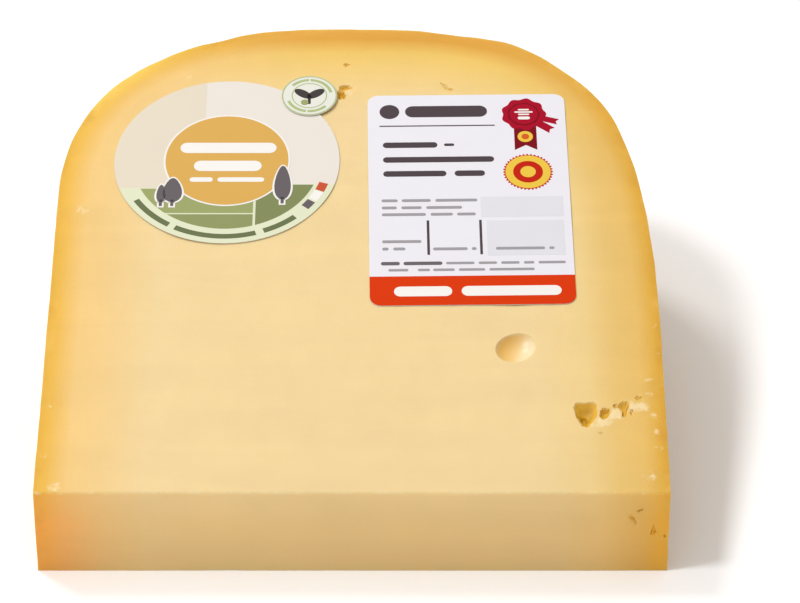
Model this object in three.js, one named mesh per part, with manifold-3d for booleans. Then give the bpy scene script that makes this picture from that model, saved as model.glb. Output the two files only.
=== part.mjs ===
// A wedge of firm wheel cheese that lies on one of its two radial cuts, with its tip cut off square and
// three paper stickers on the upper cut. Millimetres, +Z up. X runs across the wheel from face to face,
// Y runs outwards from the wheel's axis to its rim, and the origin is the middle of the wedge's foot.

import * as THREE from "three";
import { mergeVertices } from "three/addons/utils/BufferGeometryUtils.js";
import Module from "manifold-3d";

// The wheel and how it was cut.
const WHEEL_WIDTH = 115;
const PORTIONS = 24;
const FRONT_HEIGHT = 17.4;
const CUT_LENGTH = 120.7;
const WEDGE_ANGLE = (2 * Math.PI) / PORTIONS;
const TIP_CUT = FRONT_HEIGHT / Math.tan(WEDGE_ANGLE);
const WHEEL_RADIUS = TIP_CUT / Math.cos(WEDGE_ANGLE) + CUT_LENGTH;
const FRONT_Y = (TIP_CUT - WHEEL_RADIUS) / 2;

// The rounded edges of the wheel, where each flat face turns over into the rim: how far the turn reaches
// in from the face and in from the rim, and how long the curve holds to each before it turns away.
const LEFT_EDGE = { across: 50, deep: 46, faceHold: 32, rimHold: 27 };
const RIGHT_EDGE = { across: 53, deep: 85, faceHold: 60, rimHold: 45 };
const EDGE_STEPS = 22;
const FACE_STEPS = 14;
const LATHE_STEPS = 360;

// The rind is a little uneven, and it tucks in towards the wedge's foot.
const LUMP_HEIGHT = 0.28;
const TUCK_DEPTH = 0.4;
const TUCK_HEIGHT = 7;

// Round gas holes in the upper cut: the place across and up the cut, the mouth's width and the depth.
const ROUND_HOLES = [
  { x: 30.3, up: 34.9, mouth: 7.2, depth: 2.5 },
  { x: -2.3, up: 110.4, mouth: 1.7, depth: 0.9 },
  { x: -31.6, up: 113.0, mouth: 1.2, depth: 0.5 },
  { x: -36.4, up: 104.1, mouth: 1.3, depth: 0.5 },
];

// Angular pockets in the upper cut, where curd didn't knit. Each is a pit with a few flat sides.
const CURD_POCKETS = [
  { x: 42.7, up: 19.2, width: 5.4, depth: 2.4, sides: 3, turn: 180 },
  { x: 46.9, up: 19.0, width: 3.0, depth: 1.7, sides: 4, turn: 20 },
  { x: 50.7, up: 20.5, width: 2.8, depth: 1.5, sides: 5, turn: 0 },
  { x: 53.2, up: 22.8, width: 1.3, depth: 0.8, sides: 3, turn: 70 },
  { x: -1.6, up: 103.9, width: 2.6, depth: 1.3, sides: 4, turn: 35 },
  { x: -3.5, up: 101.9, width: 2.2, depth: 1.2, sides: 4, turn: 10 },
  { x: 19.6, up: 104.0, width: 1.9, depth: 0.9, sides: 3, turn: 130 },
];

// Smaller pockets in the front cut, placed across and up from the foot.
const FRONT_POCKETS = [
  { x: 50.6, up: 11.2, width: 1.8, depth: 0.8, sides: 4, turn: 25 },
  { x: 54.4, up: 9.0, width: 2.0, depth: 1.0, sides: 3, turn: 180 },
];

// Paper stickers on the upper cut: the middle's place across and up the cut, and the height of the underside.
const PAPER = 0.25;
const PAPER_GAP = 0.3;
const ROUND_LABEL = { x: -25.1, up: 83.3, diameter: 44, lift: PAPER_GAP };
const PRICE_LABEL = { x: 22.1, up: 73.5, width: 39, length: 56, corner: 2.4, turn: 0.8, lift: PAPER_GAP };
const SMALL_LABEL = { x: -9.3, up: 101.0, diameter: 11, lift: PAPER_GAP + PAPER + PAPER_GAP };
const CIRCLE_STEPS = 64;

const wasm = await Module();
wasm.setup();

// The upper cut's own frame: X across, Y up the slope from the front edge, and Z out of the cheese.
function upperCutFrame() {
  return new THREE.Matrix4().makeRotationX(WEDGE_ANGLE).setPosition(0, FRONT_Y, FRONT_HEIGHT);
}

// The front cut's frame: X across, Y up from the foot, and Z out of the cheese towards -Y.
function frontCutFrame() {
  return new THREE.Matrix4().makeRotationX(Math.PI / 2).setPosition(0, FRONT_Y, 0);
}

function toSolid(geometry) {
  const bare = geometry.clone();
  bare.deleteAttribute("normal");
  bare.deleteAttribute("uv");
  const merged = mergeVertices(bare, 1e-4);
  return new wasm.Manifold(
    new wasm.Mesh({
      numProp: 3,
      vertProperties: new Float32Array(merged.attributes.position.array),
      triVerts: new Uint32Array(merged.index.array),
    }),
  );
}

function toGeometry(solid) {
  const mesh = solid.getMesh();
  const geometry = new THREE.BufferGeometry();
  geometry.setAttribute("position", new THREE.BufferAttribute(mesh.vertProperties, 3));
  geometry.setIndex(new THREE.BufferAttribute(mesh.triVerts, 1));
  geometry.computeVertexNormals();
  return geometry;
}

// One rounded edge of the wheel as (radius, across) points, from the flat face to the rim.
function roundedEdge(edge, side) {
  const face = (side * WHEEL_WIDTH) / 2;
  const faceEnd = WHEEL_RADIUS - edge.deep;
  const rimEnd = face - side * edge.across;
  return new THREE.CubicBezierCurve(
    new THREE.Vector2(faceEnd, face),
    new THREE.Vector2(faceEnd + edge.faceHold, face),
    new THREE.Vector2(WHEEL_RADIUS, rimEnd + side * edge.rimHold),
    new THREE.Vector2(WHEEL_RADIUS, rimEnd),
  ).getPoints(EDGE_STEPS);
}

// A flat face of the wheel as points from the axis out to where its rounded edge begins.
function flatFace(edge, side) {
  const points = [];
  for (let i = 0; i < FACE_STEPS; i++) {
    points.push(new THREE.Vector2(((WHEEL_RADIUS - edge.deep) * i) / FACE_STEPS, (side * WHEEL_WIDTH) / 2));
  }
  return points;
}

function smoothStep(low, high, value) {
  const share = THREE.MathUtils.clamp((value - low) / (high - low), 0, 1);
  return share * share * (3 - 2 * share);
}

// How far the rind stands out from the true wheel at a point: long, shallow lumps, less the tuck.
function unevenness(point) {
  const across = Math.sin(point.x * 0.11 + 0.6) + 0.6 * Math.sin(point.x * 0.37 + point.y * 0.05);
  const along = Math.sin(point.y * 0.09 + point.z * 0.13 + 2.1);
  const tuck = TUCK_DEPTH * (1 - smoothStep(0, TUCK_HEIGHT, Math.abs(point.z)));
  return (LUMP_HEIGHT * (across + along)) / 2.6 - tuck;
}

// Turns the profile about the wheel's axis, which lies along X, and makes the rind uneven.
function wheel() {
  const left = [...flatFace(LEFT_EDGE, -1), ...roundedEdge(LEFT_EDGE, -1)];
  const right = [...flatFace(RIGHT_EDGE, 1), ...roundedEdge(RIGHT_EDGE, 1)];
  const geometry = new THREE.LatheGeometry([...left, ...right.reverse()], LATHE_STEPS);
  geometry.rotateZ(-Math.PI / 2);
  geometry.translate(0, FRONT_Y - TIP_CUT, 0);

  const { position, normal } = geometry.attributes;
  const point = new THREE.Vector3();
  const outward = new THREE.Vector3();
  for (let i = 0; i < position.count; i++) {
    point.fromBufferAttribute(position, i);
    outward.fromBufferAttribute(normal, i);
    point.addScaledVector(outward, unevenness(point));
    position.setXYZ(i, point.x, point.y, point.z);
  }
  return toSolid(geometry);
}

// The space between the two radial cuts and behind the front cut, as a bar across the whole wheel.
function wedgeSpace() {
  const far = WHEEL_RADIUS * 1.2;
  const side = new THREE.Shape()
    .moveTo(TIP_CUT, 0)
    .lineTo(far, 0)
    .lineTo(far, far * Math.tan(WEDGE_ANGLE))
    .lineTo(TIP_CUT, FRONT_HEIGHT);
  const geometry = new THREE.ExtrudeGeometry(side, { depth: 2 * WHEEL_WIDTH, bevelEnabled: false });
  geometry.translate(0, 0, -WHEEL_WIDTH);
  // Shape X becomes Y, shape Y becomes Z, and the extrusion runs along X.
  geometry.applyMatrix4(
    new THREE.Matrix4().makeBasis(
      new THREE.Vector3(0, 1, 0),
      new THREE.Vector3(0, 0, 1),
      new THREE.Vector3(1, 0, 0),
    ),
  );
  geometry.translate(0, FRONT_Y - TIP_CUT, 0);
  return toSolid(geometry);
}

// A shallow round hole: the ball whose cap has this mouth and depth, centred above the cut.
function roundHole(hole, frame) {
  const half = hole.mouth / 2;
  const ball = (half * half + hole.depth * hole.depth) / (2 * hole.depth);
  const geometry = new THREE.SphereGeometry(ball, 28, 18);
  geometry.rotateX(Math.PI / 2);
  geometry.translate(hole.x, hole.up, ball - hole.depth);
  geometry.applyMatrix4(frame);
  return toSolid(geometry);
}

// A pit with flat sides that narrows as it goes into the cheese, with its mouth a little above the cut.
function curdPocket(pocket, frame) {
  const rise = 0.5;
  const height = pocket.depth + rise;
  const mouth = ((pocket.width / 2) * height) / pocket.depth;
  const geometry = new THREE.CylinderGeometry(mouth, mouth * 0.25, height, pocket.sides);
  geometry.rotateX(Math.PI / 2);
  geometry.rotateZ(THREE.MathUtils.degToRad(pocket.turn));
  geometry.translate(pocket.x, pocket.up, rise - height / 2);
  geometry.applyMatrix4(frame);
  return toSolid(geometry);
}

function cheese() {
  const upper = upperCutFrame();
  const front = frontCutFrame();
  let solid = wheel().intersect(wedgeSpace());
  for (const hole of ROUND_HOLES) {
    solid = solid.subtract(roundHole(hole, upper));
  }
  for (const pocket of CURD_POCKETS) {
    solid = solid.subtract(curdPocket(pocket, upper));
  }
  for (const pocket of FRONT_POCKETS) {
    solid = solid.subtract(curdPocket(pocket, front));
  }
  const material = new THREE.MeshStandardMaterial({ color: 0xf3d9a0, roughness: 0.5, metalness: 0 });
  const mesh = new THREE.Mesh(toGeometry(solid), material);
  mesh.name = "cheese";
  return mesh;
}

function roundedRectangle(width, length, corner) {
  const x = width / 2;
  const y = length / 2;
  return new THREE.Shape()
    .moveTo(-x + corner, -y)
    .lineTo(x - corner, -y)
    .absarc(x - corner, -y + corner, corner, -Math.PI / 2, 0)
    .lineTo(x, y - corner)
    .absarc(x - corner, y - corner, corner, 0, Math.PI / 2)
    .lineTo(-x + corner, y)
    .absarc(-x + corner, y - corner, corner, Math.PI / 2, Math.PI)
    .lineTo(-x, -y + corner)
    .absarc(-x + corner, -y + corner, corner, Math.PI, Math.PI * 1.5);
}

// A sticker cut to an outline, lying in the upper cut's frame.
function sticker(name, outline, curveSteps, label, color) {
  const geometry = new THREE.ExtrudeGeometry(outline, {
    depth: PAPER,
    bevelEnabled: false,
    curveSegments: curveSteps,
  });
  const material = new THREE.MeshStandardMaterial({ color, roughness: 0.55, metalness: 0 });
  const mesh = new THREE.Mesh(geometry, material);
  mesh.name = name;
  mesh.position.set(label.x, label.up, label.lift);
  mesh.rotation.z = THREE.MathUtils.degToRad(label.turn ?? 0);
  return mesh;
}

function disc(diameter) {
  return new THREE.Shape().absarc(0, 0, diameter / 2, 0, 2 * Math.PI);
}

function stickers() {
  const group = new THREE.Group();
  group.position.set(0, FRONT_Y, FRONT_HEIGHT);
  group.rotation.x = WEDGE_ANGLE;
  const price = roundedRectangle(PRICE_LABEL.width, PRICE_LABEL.length, PRICE_LABEL.corner);
  group.add(
    sticker("round_label", disc(ROUND_LABEL.diameter), CIRCLE_STEPS, ROUND_LABEL, 0xede3d2),
    sticker("price_label", price, 8, PRICE_LABEL, 0xeeebf0),
    sticker("small_label", disc(SMALL_LABEL.diameter), CIRCLE_STEPS / 2, SMALL_LABEL, 0xe8ebd8),
  );
  return group;
}

// Shifts the whole so that the middle of the cheese's foot is the origin, since the lumps are uneven.
function portion() {
  const wedge = cheese();
  const box = new THREE.Box3().setFromBufferAttribute(wedge.geometry.attributes.position);
  const middle = box.getCenter(new THREE.Vector3());
  const group = new THREE.Group();
  group.add(wedge, stickers());
  group.position.set(-middle.x, -middle.y, -box.min.z);
  return group;
}

export default portion();
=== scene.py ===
"""A wedge of firm wheel cheese with three paper stickers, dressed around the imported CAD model."""

import math
import random

import bpy
import numpy as np
from mathutils import Matrix, Vector


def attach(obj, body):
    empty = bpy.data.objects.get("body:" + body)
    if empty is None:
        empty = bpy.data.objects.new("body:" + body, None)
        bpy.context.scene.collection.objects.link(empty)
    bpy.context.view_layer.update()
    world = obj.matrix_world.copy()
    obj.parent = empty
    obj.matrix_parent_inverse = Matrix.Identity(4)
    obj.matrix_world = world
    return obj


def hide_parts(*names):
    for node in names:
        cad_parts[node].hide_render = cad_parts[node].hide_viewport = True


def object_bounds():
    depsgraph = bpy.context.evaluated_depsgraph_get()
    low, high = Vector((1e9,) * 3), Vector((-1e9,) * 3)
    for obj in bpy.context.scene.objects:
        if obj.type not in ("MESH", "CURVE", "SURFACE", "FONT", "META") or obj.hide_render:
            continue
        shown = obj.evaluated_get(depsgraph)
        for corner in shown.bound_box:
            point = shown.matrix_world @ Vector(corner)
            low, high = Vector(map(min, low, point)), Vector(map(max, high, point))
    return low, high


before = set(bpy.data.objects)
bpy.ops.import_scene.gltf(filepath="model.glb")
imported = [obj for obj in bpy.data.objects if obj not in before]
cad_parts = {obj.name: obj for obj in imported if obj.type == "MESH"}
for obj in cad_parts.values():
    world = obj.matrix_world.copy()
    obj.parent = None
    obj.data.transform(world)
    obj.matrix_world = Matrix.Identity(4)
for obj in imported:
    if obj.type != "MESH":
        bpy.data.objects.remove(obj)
CAD_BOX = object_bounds()

MM = 0.001

# The wheel and how it was cut, as the CAD part has them. The wheel's axis lies along X at AXIS_Y.
WHEEL_WIDTH = 115 * MM
CUT_LENGTH = 120.7 * MM
FRONT_HEIGHT = 17.4 * MM
WEDGE_ANGLE = math.radians(15)
TIP_CUT = FRONT_HEIGHT / math.tan(WEDGE_ANGLE)
OVERCUT = math.radians(2)
WHEEL_RADIUS = TIP_CUT / math.cos(WEDGE_ANGLE) + CUT_LENGTH
FRONT_Y = CAD_BOX[0].y
AXIS_Y = FRONT_Y - TIP_CUT

# The wheel's rounded edges: how far each reaches in from the flat face and from the rim, and how long
# the curve holds to each before it turns away.
LEFT_EDGE = {"across": 50 * MM, "deep": 46 * MM, "face_hold": 32 * MM, "rim_hold": 27 * MM}
RIGHT_EDGE = {"across": 53 * MM, "deep": 85 * MM, "face_hold": 60 * MM, "rim_hold": 45 * MM}
OUTLINE_STEPS = 48
SECTOR_STEPS = 24
# Straight stretches of the outline longer than this are divided too.
LONG_EDGE = 8 * MM
LONG_EDGE_CUTS = 30

# The surround's light low down, where it is warm and dim, and straight overhead.
HORIZON_LIGHT = (0.170, 0.158, 0.145)
ZENITH_LIGHT = (0.90, 0.88, 0.86)
LAMP_COLOR = (0.99, 0.99, 1.0)
FLOOR_SIZE = 6

# The upper cut's own frame: X across, Y up the slope from the front edge, Z out of the cheese.
UPPER_CUT = Matrix.Translation((0, FRONT_Y, FRONT_HEIGHT)) @ Matrix.Rotation(WEDGE_ANGLE, 4, "X")
# The front cut's frame: X across, Y up from the foot, Z out of the cheese.
FRONT_CUT = Matrix.Translation((0, FRONT_Y, 0)) @ Matrix.Rotation(math.pi / 2, 4, "X")


# ------------------------------------------------------------------------------ small tools


def deselect():
    """Leaves edit mode and clears the selection."""
    if bpy.context.object and bpy.context.object.mode != "OBJECT":
        bpy.ops.object.mode_set(mode="OBJECT")
    bpy.ops.object.select_all(action="DESELECT")


def activate(obj):
    deselect()
    obj.select_set(True)
    bpy.context.view_layer.objects.active = obj


def edit():
    """Enters edit mode on the active object, with everything selected."""
    bpy.ops.object.mode_set(mode="EDIT")
    bpy.ops.mesh.select_all(action="SELECT")


def object_mode():
    bpy.ops.object.mode_set(mode="OBJECT")


def apply_modifiers(obj):
    activate(obj)
    for modifier in list(obj.modifiers):
        bpy.ops.object.modifier_apply(modifier=modifier.name)


def join(objects, name):
    """Joins objects into the first one and names it."""
    activate(objects[0])
    for obj in objects[1:]:
        obj.select_set(True)
    if len(objects) > 1:
        bpy.ops.object.join()
    objects[0].name = name
    objects[0].data.name = name
    return objects[0]


def in_mm(x, y, z=0.0):
    return (x * MM, y * MM, z * MM)


# ------------------------------------------------------------------------------ camera and light


def add_camera():
    """A long lens that looks down on the front cut from a little right of its middle."""
    bpy.ops.object.camera_add(
        location=(8.675 * MM, FRONT_Y - 539.39 * MM, 409.20 * MM),
        rotation=(math.radians(56.981), 0, 0),
    )
    camera = bpy.context.object
    camera.data.sensor_width = 36
    camera.data.lens = 166.26
    bpy.context.scene.camera = camera


def add_softbox(name, towards, size, power, distance=1.4):
    """A round studio lamp that shines at the middle of the cheese from one direction."""
    target = Vector((0, 0, 20 * MM))
    direction = Vector(towards).normalized()
    bpy.ops.object.light_add(type="AREA", location=target + direction * distance)
    lamp = bpy.context.object
    lamp.name = name
    lamp.data.shape = "DISK"
    lamp.data.size = size
    lamp.data.energy = power
    lamp.data.color = LAMP_COLOR
    lamp.rotation_euler = direction.to_track_quat("Z", "Y").to_euler()


def surround():
    """A white surround that is brightest overhead and falls off towards the floor."""
    world = bpy.data.worlds.new("surround")
    bpy.context.scene.world = world
    world.use_nodes = True
    tree = world.node_tree
    background = tree.nodes["Background"]
    where = tree.nodes.new("ShaderNodeTexCoord")
    split = tree.nodes.new("ShaderNodeSeparateXYZ")
    rise = tree.nodes.new("ShaderNodeValToRGB")
    set_ramp(rise, [(0, (*HORIZON_LIGHT, 1)), (1, (*ZENITH_LIGHT, 1))])
    tree.links.new(where.outputs["Generated"], split.inputs[0])
    tree.links.new(split.outputs["Z"], rise.inputs["Fac"])
    tree.links.new(rise.outputs["Color"], background.inputs["Color"])


def add_floor():
    bpy.ops.mesh.primitive_plane_add(size=FLOOR_SIZE)
    floor = bpy.context.object
    floor.name = "floor"
    material, _, shader = new_material("pale_floor")
    shader.inputs["Base Color"].default_value = (0.96, 0.96, 0.96, 1)
    shader.inputs["Roughness"].default_value = 0.9
    floor.data.materials.append(material)


def add_studio():
    """A pale floor, a white surround and two soft lamps from the left."""
    add_softbox("key_lamp", towards=(-0.60, -0.18, 1.0), size=0.28, power=8.0)
    add_softbox("back_lamp", towards=(-0.52, 0.44, 1.0), size=0.30, power=5.7)
    surround()
    add_floor()
    bpy.context.scene.view_settings.view_transform = "Standard"


# ------------------------------------------------------------------------------ materials


def new_material(name):
    material = bpy.data.materials.new(name)
    material.use_nodes = True
    tree = material.node_tree
    return material, tree, tree.nodes["Principled BSDF"]


def add_node(tree, kind, **values):
    """Adds a node and sets its inputs by name, with a space for each underscore."""
    node = tree.nodes.new(kind)
    for key, value in values.items():
        node.inputs[key.replace("_", " ")].default_value = value
    return node


def srgb(red, green, blue):
    """A colour given in display values from 0 to 255 as a linear RGBA colour."""

    def linear(value):
        value /= 255
        return value / 12.92 if value <= 0.04045 else ((value + 0.055) / 1.055) ** 2.4

    return (linear(red), linear(green), linear(blue), 1)


def set_ramp(node, stops):
    """Fills a colour ramp from (position, colour) pairs."""
    ramp = node.color_ramp
    while len(ramp.elements) < len(stops):
        ramp.elements.new(0.5)
    for element, (position, color) in zip(ramp.elements, stops):
        element.position = position
        element.color = color


def grain_group():
    """Fine and coarse unevenness of a matt surface: a brightness near 1 and a height."""
    tree = bpy.data.node_groups.new("Surface grain", "ShaderNodeTree")
    tree.interface.new_socket("Coarse Size", in_out="INPUT", socket_type="NodeSocketFloat")
    tree.interface.new_socket("Fine Size", in_out="INPUT", socket_type="NodeSocketFloat")
    tree.interface.new_socket("Mottle", in_out="INPUT", socket_type="NodeSocketFloat")
    tree.interface.new_socket("Brightness", in_out="OUTPUT", socket_type="NodeSocketFloat")
    tree.interface.new_socket("Height", in_out="OUTPUT", socket_type="NodeSocketFloat")
    given = tree.nodes.new("NodeGroupInput")
    out = tree.nodes.new("NodeGroupOutput")
    place_of = tree.nodes.new("ShaderNodeTexCoord")
    coarse = add_node(tree, "ShaderNodeTexNoise", Detail=3.0)
    fine = add_node(tree, "ShaderNodeTexNoise", Detail=5.0, Roughness=0.6)
    tree.links.new(place_of.outputs["Object"], coarse.inputs["Vector"])
    tree.links.new(place_of.outputs["Object"], fine.inputs["Vector"])
    for size_name, noise in (("Coarse Size", coarse), ("Fine Size", fine)):
        inverse = tree.nodes.new("ShaderNodeMath")
        inverse.operation = "DIVIDE"
        inverse.inputs[0].default_value = 1
        tree.links.new(given.outputs[size_name], inverse.inputs[1])
        tree.links.new(inverse.outputs[0], noise.inputs["Scale"])
    centred = tree.nodes.new("ShaderNodeMath")
    centred.operation = "SUBTRACT"
    centred.inputs[1].default_value = 0.5
    tree.links.new(coarse.outputs["Fac"], centred.inputs[0])
    scaled = tree.nodes.new("ShaderNodeMath")
    scaled.operation = "MULTIPLY_ADD"
    scaled.inputs[2].default_value = 1
    tree.links.new(centred.outputs[0], scaled.inputs[0])
    tree.links.new(given.outputs["Mottle"], scaled.inputs[1])
    tree.links.new(scaled.outputs[0], out.inputs["Brightness"])
    tree.links.new(fine.outputs["Fac"], out.inputs["Height"])
    return tree


def add_grain(tree, grain, coarse, fine, mottle):
    node = tree.nodes.new("ShaderNodeGroup")
    node.node_tree = grain
    node.inputs["Coarse Size"].default_value = coarse
    node.inputs["Fine Size"].default_value = fine
    node.inputs["Mottle"].default_value = mottle
    return node


def add_bump(tree, shader, height, strength, distance):
    bump = add_node(tree, "ShaderNodeBump", Strength=strength, Distance=distance)
    tree.links.new(height, bump.inputs["Height"])
    tree.links.new(bump.outputs["Normal"], shader.inputs["Normal"])


def multiply_color(tree, color, factor):
    """Multiplies a colour by a single value."""
    node = tree.nodes.new("ShaderNodeVectorMath")
    node.operation = "SCALE"
    tree.links.new(color, node.inputs[0])
    tree.links.new(factor, node.inputs["Scale"])
    return node.outputs[0]


# Depth below the rind in millimetres, and the cheese's colour there, on each part of the cuts. Colours
# are display values.
RAMP_DEPTH = 26.0
LEFT_COLORS = [
    (0.0, (210, 160, 49)),
    (0.8, (217, 169, 50)),
    (2.2, (222, 174, 66)),
    (6.0, (226, 189, 117)),
    (12.0, (225, 192, 128)),
    (20.0, (225, 199, 144)),
]
RIGHT_COLORS = [
    (0.0, (204, 153, 40)),
    (1.3, (212, 163, 54)),
    (4.3, (219, 179, 95)),
    (9.0, (220, 184, 107)),
    (14.0, (225, 196, 131)),
    (24.0, (226, 200, 145)),
]
BACK_COLORS = [
    (0.0, (216, 164, 64)),
    (1.2, (212, 156, 54)),
    (3.0, (211, 153, 49)),
    (7.0, (224, 186, 92)),
    (17.0, (228, 198, 132)),
    (24.0, (226, 198, 142)),
]
# The front cut's colours are deeper and warmer than the upper cut's; part of that is painted warm bounce
# light.
FRONT_LEFT_COLORS = [
    (0.0, (244, 165, 59)),
    (2.0, (247, 172, 68)),
    (5.0, (247, 179, 92)),
    (12.0, (242, 196, 123)),
    (20.0, (239, 203, 137)),
]
FRONT_RIGHT_COLORS = [
    (0.0, (240, 173, 42)),
    (1.5, (242, 178, 49)),
    (5.0, (235, 183, 87)),
    (12.0, (240, 198, 122)),
    (20.0, (237, 201, 135)),
]
# Colours of single places: the painted highlight on the left back shoulder, the rind's blotches,
# the pits' painted glow and painted shade, the gas hole's painted shade and painted light, and
# crumbs, which also make the painted highlight along the front edge.
SHOULDER_HIGHLIGHT_COLOR = (232, 196, 88)
RIND_PALE = (226, 184, 92)
RIND_DARK = (200, 140, 34)
PIT_GLOW_COLOR = (220, 172, 54)
DEEP_PIT_SHADE_COLOR = (194, 146, 26)
FRONT_PIT_GLOW_COLOR = (244, 190, 60)
EYE_SHADE_COLOR = (232, 186, 100)
EYE_LIGHT_COLOR = (234, 216, 178)
CRUMB_AND_EDGE_HIGHLIGHT_COLOR = (234, 212, 162)


def depth_ramp(tree, depth, colors):
    share = tree.nodes.new("ShaderNodeMath")
    share.operation = "DIVIDE"
    share.inputs[1].default_value = RAMP_DEPTH
    tree.links.new(depth, share.inputs[0])
    ramp = tree.nodes.new("ShaderNodeValToRGB")
    set_ramp(ramp, [(at / RAMP_DEPTH, srgb(*color)) for at, color in colors])
    tree.links.new(share.outputs[0], ramp.inputs["Fac"])
    return ramp.outputs["Color"]


def read_attribute(tree, name):
    node = tree.nodes.new("ShaderNodeAttribute")
    node.attribute_name = name
    return node.outputs["Fac"]


def mix_colors(tree, factor, first, second):
    """Mixes two colours. Each may be a socket or a display colour."""
    node = tree.nodes.new("ShaderNodeMix")
    node.data_type = "RGBA"
    tree.links.new(factor, node.inputs["Factor"])
    for socket, color in ((node.inputs["A"], first), (node.inputs["B"], second)):
        if isinstance(color, tuple):
            socket.default_value = srgb(*color)
        else:
            tree.links.new(color, socket)
    return node.outputs["Result"]


def fade(tree, value, start, end, low=0.0, high=1.0):
    """Runs smoothly from one value to another as the given value goes from start to end."""
    node = tree.nodes.new("ShaderNodeMapRange")
    node.interpolation_type = "SMOOTHSTEP"
    node.inputs["From Min"].default_value = start
    node.inputs["From Max"].default_value = end
    node.inputs["To Min"].default_value = low
    node.inputs["To Max"].default_value = high
    tree.links.new(value, node.inputs["Value"])
    return node.outputs["Result"]


def math_node(tree, operation, first, second):
    """Works one value out of two, each a socket or a number."""
    node = tree.nodes.new("ShaderNodeMath")
    node.operation = operation
    for socket, value in zip(node.inputs, (first, second)):
        if isinstance(value, (int, float)):
            socket.default_value = value
        else:
            tree.links.new(value, socket)
    return node.outputs[0]


def product(tree, first, second):
    return math_node(tree, "MULTIPLY", first, second)


def height_above_cut(tree, along, height):
    """Height above the plane of the upper cut, which is negative in the cheese."""
    slope = product(tree, math_node(tree, "SUBTRACT", along, FRONT_Y), math.tan(WEDGE_ANGLE))
    return math_node(tree, "SUBTRACT", math_node(tree, "SUBTRACT", height, FRONT_HEIGHT), slope)


def upper_color(tree, depth, side, across, along, height):
    """The upper cut and the rind: paler inside, deeper yellow at the back, and a painted highlight on the
    left back shoulder.
    """
    left, right = depth_ramp(tree, depth, LEFT_COLORS), depth_ramp(tree, depth, RIGHT_COLORS)
    color = mix_colors(tree, side, left, right)
    back = fade(tree, along, 4 * MM, 40 * MM)
    back = product(tree, back, fade(tree, across, -40 * MM, -5 * MM))
    back = product(tree, back, fade(tree, across, 22 * MM, 50 * MM, 1.0, 0.25))
    color = mix_colors(tree, back, color, depth_ramp(tree, depth, BACK_COLORS))
    # Painted highlight: the left back shoulder is made lighter and yellower near the rind and the upper
    # cut.
    shoulder_highlight = fade(tree, along, 20 * MM, 40 * MM)
    shoulder_highlight = product(tree, shoulder_highlight, fade(tree, across, -30 * MM, -45 * MM))
    shoulder_highlight = product(tree, shoulder_highlight, fade(tree, depth, 0.5, 4.0, 0.8, 0.0))
    above_cut = height_above_cut(tree, along, height)
    shoulder_highlight = product(tree, shoulder_highlight, fade(tree, above_cut, -6 * MM, -0.5 * MM))
    return mix_colors(tree, shoulder_highlight, color, SHOULDER_HIGHLIGHT_COLOR)


def front_color(tree, depth, side, height, upper):
    """The front cut: painted shade darkens its foot and painted light brightens it towards its top, where
    it also comes nearer to the upper cut's colour.
    """
    left = depth_ramp(tree, depth, FRONT_LEFT_COLORS)
    color = mix_colors(tree, side, left, depth_ramp(tree, depth, FRONT_RIGHT_COLORS))
    color = mix_colors(tree, fade(tree, height, 9 * MM, FRONT_HEIGHT, 0.0, 0.5), color, upper)
    # Painted shade darkens the foot, and painted light brightens the top of the front cut.
    color = multiply_color(tree, color, fade(tree, height, 0, 14 * MM, 0.90, 1.0))
    return multiply_color(tree, color, fade(tree, height, 11 * MM, FRONT_HEIGHT, 1.0, 1.08))


def cheese_noise(tree, place, size, **values):
    """Noise of one size, fixed to the cheese."""
    noise = add_node(tree, "ShaderNodeTexNoise", Scale=1 / size, **values)
    tree.links.new(place, noise.inputs["Vector"])
    return noise.outputs["Fac"]


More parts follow.
